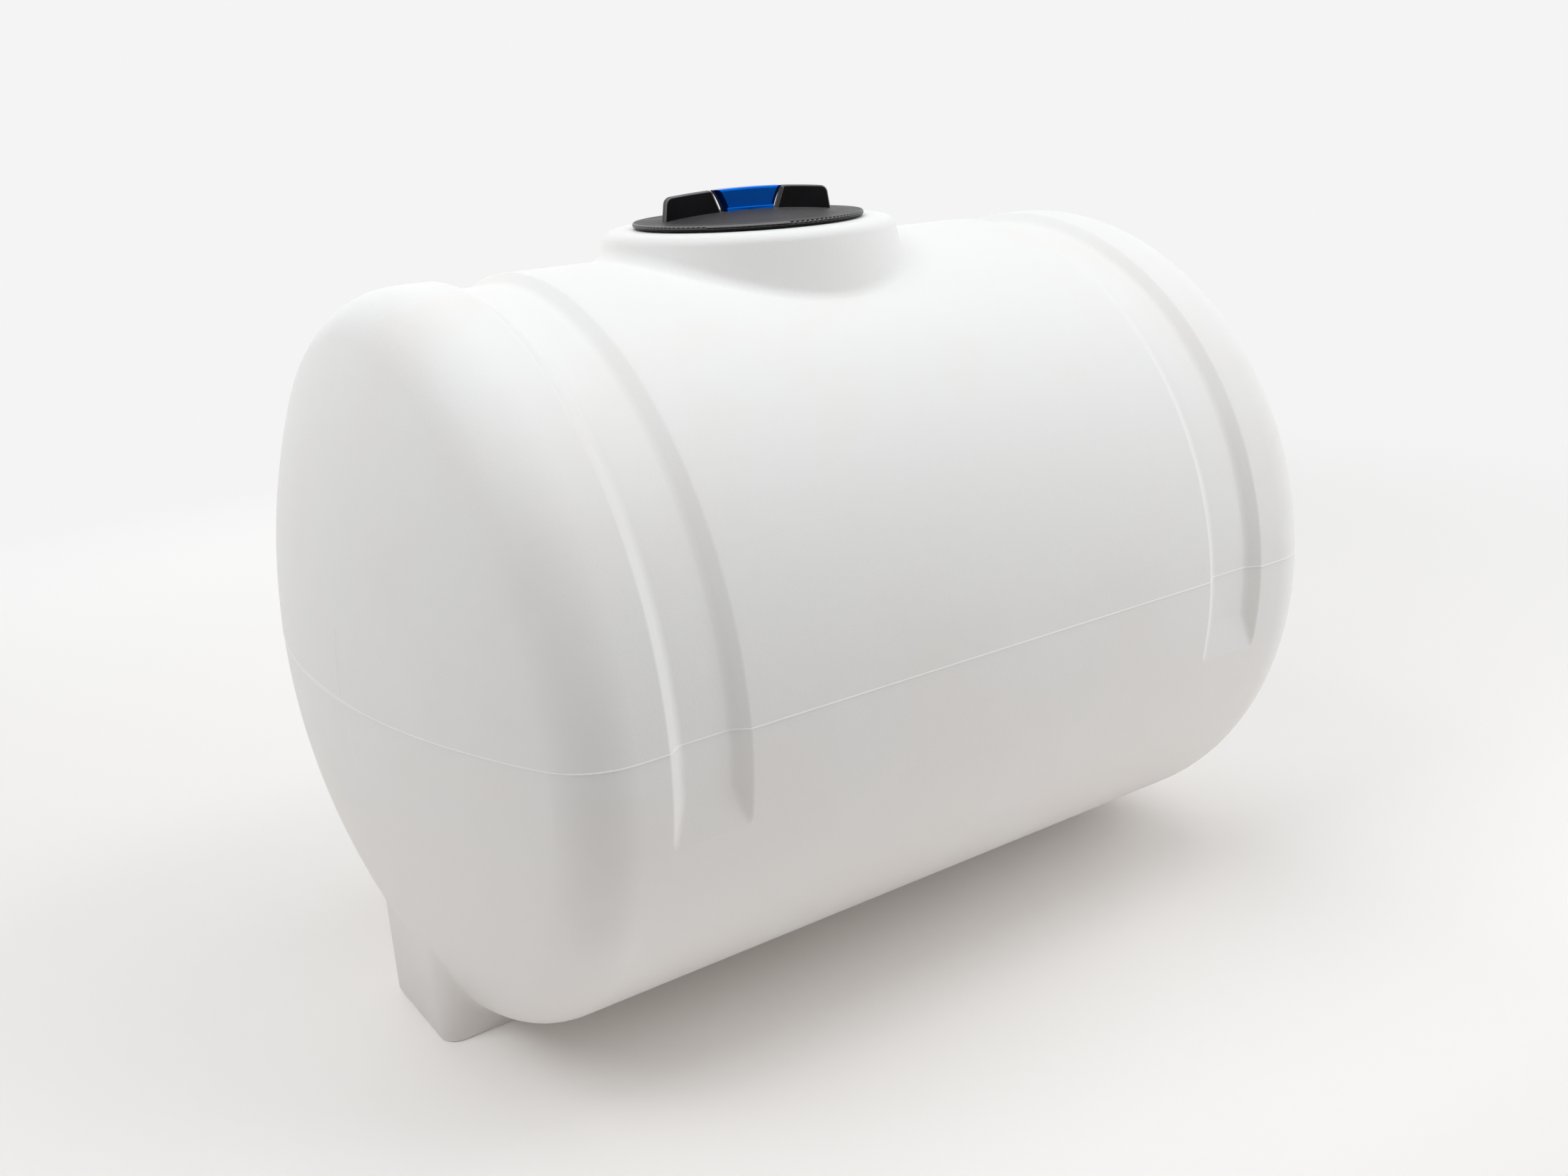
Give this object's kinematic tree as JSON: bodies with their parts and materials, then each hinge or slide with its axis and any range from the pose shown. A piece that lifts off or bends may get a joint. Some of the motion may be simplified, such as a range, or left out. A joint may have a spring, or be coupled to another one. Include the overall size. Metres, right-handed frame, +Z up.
{
  "type": "horizontal moulded plastic storage tank",
  "caption": "Horizontal round plastic tank for liquids, with dished ends, strap grooves, a flat keel to stand on and a top manway closed by a turn-and-lift lid with a grip bar.",
  "frame": {"origin": "on the floor under the middle of the keel", "axes": "+X along the barrel axis, towards the right-hand end as seen from the front; +Z up; the front side faces -Y"},
  "size_m": [0.8874, 0.61, 0.6616],
  "materials": {
    "tank_white": "natural white rotationally moulded polyethylene, satin and slightly translucent",
    "lid_black": "black moulded plastic with a fine texture",
    "insert_blue": "glossy saturated blue moulded plastic",
    "gasket_rubber": "black sealing rubber"
  },
  "bodies": {
    "tank": {"manway_collar": "tank_white", "front_upper_barrel": "tank_white", "front_left_strap_band": "tank_white", "front_right_strap_band": "tank_white", "front_lower_barrel": "tank_white", "back_upper_barrel": "tank_white", "back_left_strap_band": "tank_white", "back_right_strap_band": "tank_white", "back_lower_barrel": "tank_white", "left_upper_end": "tank_white", "left_lower_end": "tank_white", "left_foot": "tank_white", "right_upper_end": "tank_white", "right_lower_end": "tank_white", "right_foot": "tank_white"},
    "lid_seal": {"lid_gasket": "gasket_rubber"},
    "lid": {"lid_disc": "lid_black", "lid_plug": "lid_black", "left_grip": "lid_black", "right_grip": "lid_black", "grip_insert": "insert_blue"}
  },
  "joints": [
    {"name": "lid_lift", "type": "slide", "parent": "tank", "child": "lid_seal", "axis": [0, 0, 1], "range_m": [0, 0.15]},
    {"name": "lid_turn", "type": "hinge", "parent": "lid_seal", "child": "lid", "pos_m": [-0.016, 0, 0.6335], "axis": [0, 0, 1], "range_deg": [0, 90]}
  ]
}
